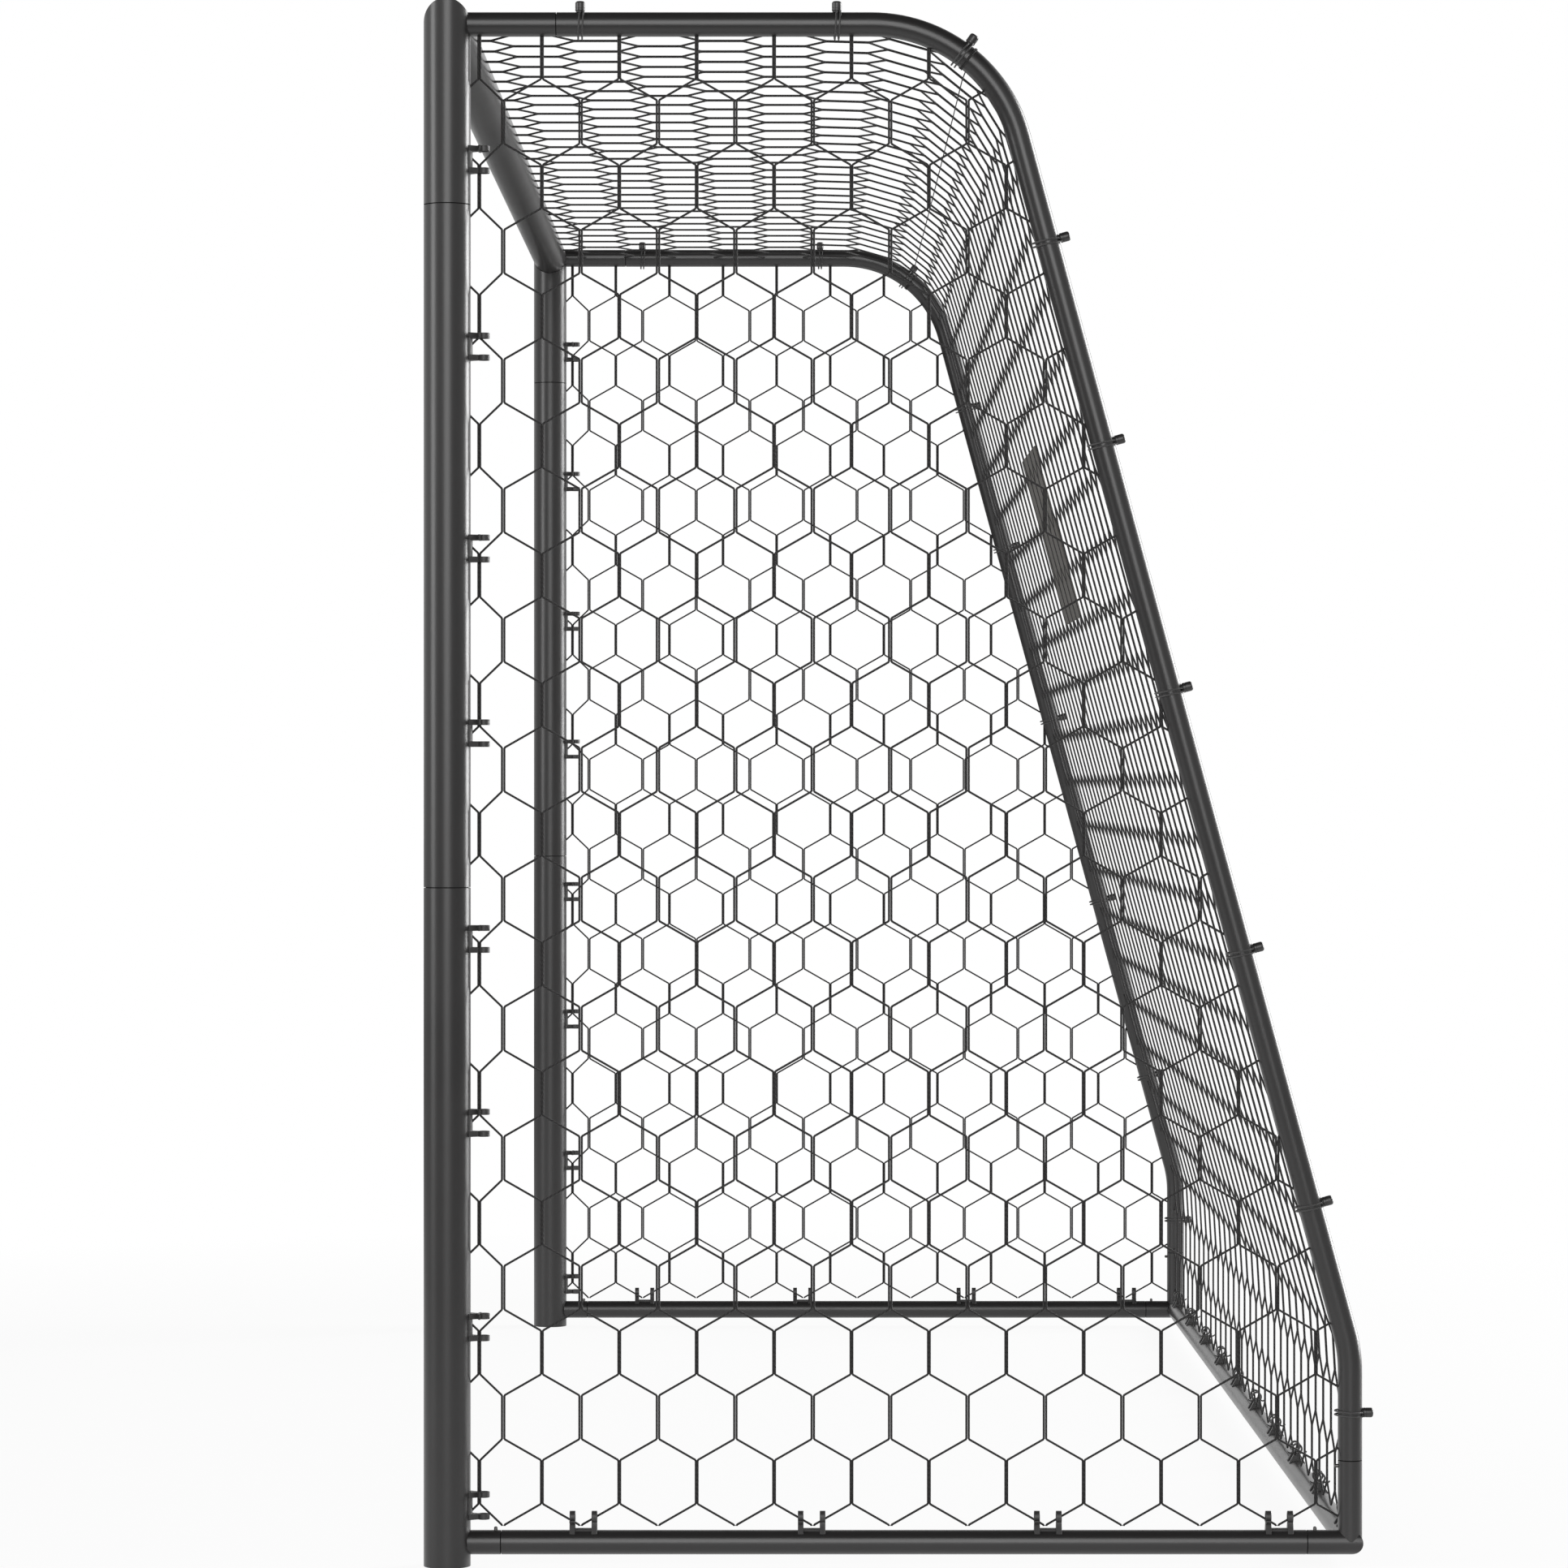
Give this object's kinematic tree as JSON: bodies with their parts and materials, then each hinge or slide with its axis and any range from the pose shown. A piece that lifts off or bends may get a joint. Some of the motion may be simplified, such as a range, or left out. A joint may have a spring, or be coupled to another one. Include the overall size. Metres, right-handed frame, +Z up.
{
  "type": "football goal",
  "caption": "Free-standing black tube-frame football goal with curved side rails, snap-button joints and a hexagonal net.",
  "frame": {"origin": "on the ground in the middle of the goal's outer box", "axes": "+X from the mouth to the back, +Y across the goal to the left post as seen facing the mouth, +Z up"},
  "size_m": [1.2138, 2.999, 1.9997],
  "materials": {
    "powder_coat": "semi-gloss black powder coat on steel tube",
    "moulded_plastic": "moulded black plastic",
    "net_cord": "black knotless polyethylene cord",
    "elastic_cord": "black covered elastic cord with a plastic cap",
    "spring_steel": "tempered spring strip",
    "button_pin": "blackened steel pin",
    "badge_sheet": "plain dark grey sheet"
  },
  "bodies": {
    "frame": {"crossbar": "powder_coat", "rear_bar": "powder_coat", "top_corner_left": "powder_coat", "post_upper_left": "powder_coat", "post_lower_left": "powder_coat", "side_rail_left": "powder_coat", "rear_corner_left": "powder_coat", "ground_rail_left": "powder_coat", "post_foot_plug_left": "moulded_plastic", "top_corner_right": "powder_coat", "post_upper_right": "powder_coat", "post_lower_right": "powder_coat", "side_rail_right": "powder_coat", "rear_corner_right": "powder_coat", "ground_rail_right": "powder_coat", "post_foot_plug_right": "moulded_plastic", "net_roof": "net_cord", "net_shoulder": "net_cord", "net_back": "net_cord", "net_back_low": "net_cord", "net_side_left": "net_cord", "net_side_right": "net_cord", "support_cord": "net_cord", "badge_plate": "badge_sheet", "net_tie_left_1": "elastic_cord", "net_tie_left_2": "elastic_cord", "net_tie_left_3": "elastic_cord", "net_tie_left_4": "elastic_cord", "net_tie_left_5": "elastic_cord", "net_tie_left_6": "elastic_cord", "net_tie_left_7": "elastic_cord", "net_tie_left_8": "elastic_cord", "net_tie_left_9": "elastic_cord", "net_tie_right_1": "elastic_cord", "net_tie_right_2": "elastic_cord", "net_tie_right_3": "elastic_cord", "net_tie_right_4": "elastic_cord", "net_tie_right_5": "elastic_cord", "net_tie_right_6": "elastic_cord", "net_tie_right_7": "elastic_cord", "net_tie_right_8": "elastic_cord", "net_tie_right_9": "elastic_cord", "button_spring_front_left": "spring_steel", "button_spring_front_right": "spring_steel", "button_spring_rear_left": "spring_steel", "button_spring_rear_right": "spring_steel", "button_spring_upright_left": "spring_steel", "button_spring_upright_right": "spring_steel"},
    "button_front_left": {"snap_button_front_left": "button_pin"},
    "button_front_right": {"snap_button_front_right": "button_pin"},
    "button_rear_left": {"snap_button_rear_left": "button_pin"},
    "button_rear_right": {"snap_button_rear_right": "button_pin"},
    "button_upright_left": {"snap_button_upright_left": "button_pin"},
    "button_upright_right": {"snap_button_upright_right": "button_pin"}
  },
  "joints": [
    {"name": "press_front_left", "type": "slide", "parent": "frame", "child": "button_front_left", "axis": [0, 0, -1], "range_m": [0, 0.005], "stiffness_N_per_m": 1000, "springref_m": -0.004, "deforming": ["button_spring_front_left"]},
    {"name": "press_front_right", "type": "slide", "parent": "frame", "child": "button_front_right", "axis": [0, 0, -1], "range_m": [0, 0.005], "stiffness_N_per_m": 1000, "springref_m": -0.004, "deforming": ["button_spring_front_right"]},
    {"name": "press_rear_left", "type": "slide", "parent": "frame", "child": "button_rear_left", "axis": [0, 0, -1], "range_m": [0, 0.005], "stiffness_N_per_m": 1000, "springref_m": -0.004, "deforming": ["button_spring_rear_left"]},
    {"name": "press_rear_right", "type": "slide", "parent": "frame", "child": "button_rear_right", "axis": [0, 0, -1], "range_m": [0, 0.005], "stiffness_N_per_m": 1000, "springref_m": -0.004, "deforming": ["button_spring_rear_right"]},
    {"name": "press_upright_left", "type": "slide", "parent": "frame", "child": "button_upright_left", "axis": [1, 0, 0], "range_m": [0, 0.005], "stiffness_N_per_m": 1000, "springref_m": -0.004, "deforming": ["button_spring_upright_left"]},
    {"name": "press_upright_right", "type": "slide", "parent": "frame", "child": "button_upright_right", "axis": [1, 0, 0], "range_m": [0, 0.005], "stiffness_N_per_m": 1000, "springref_m": -0.004, "deforming": ["button_spring_upright_right"]}
  ]
}
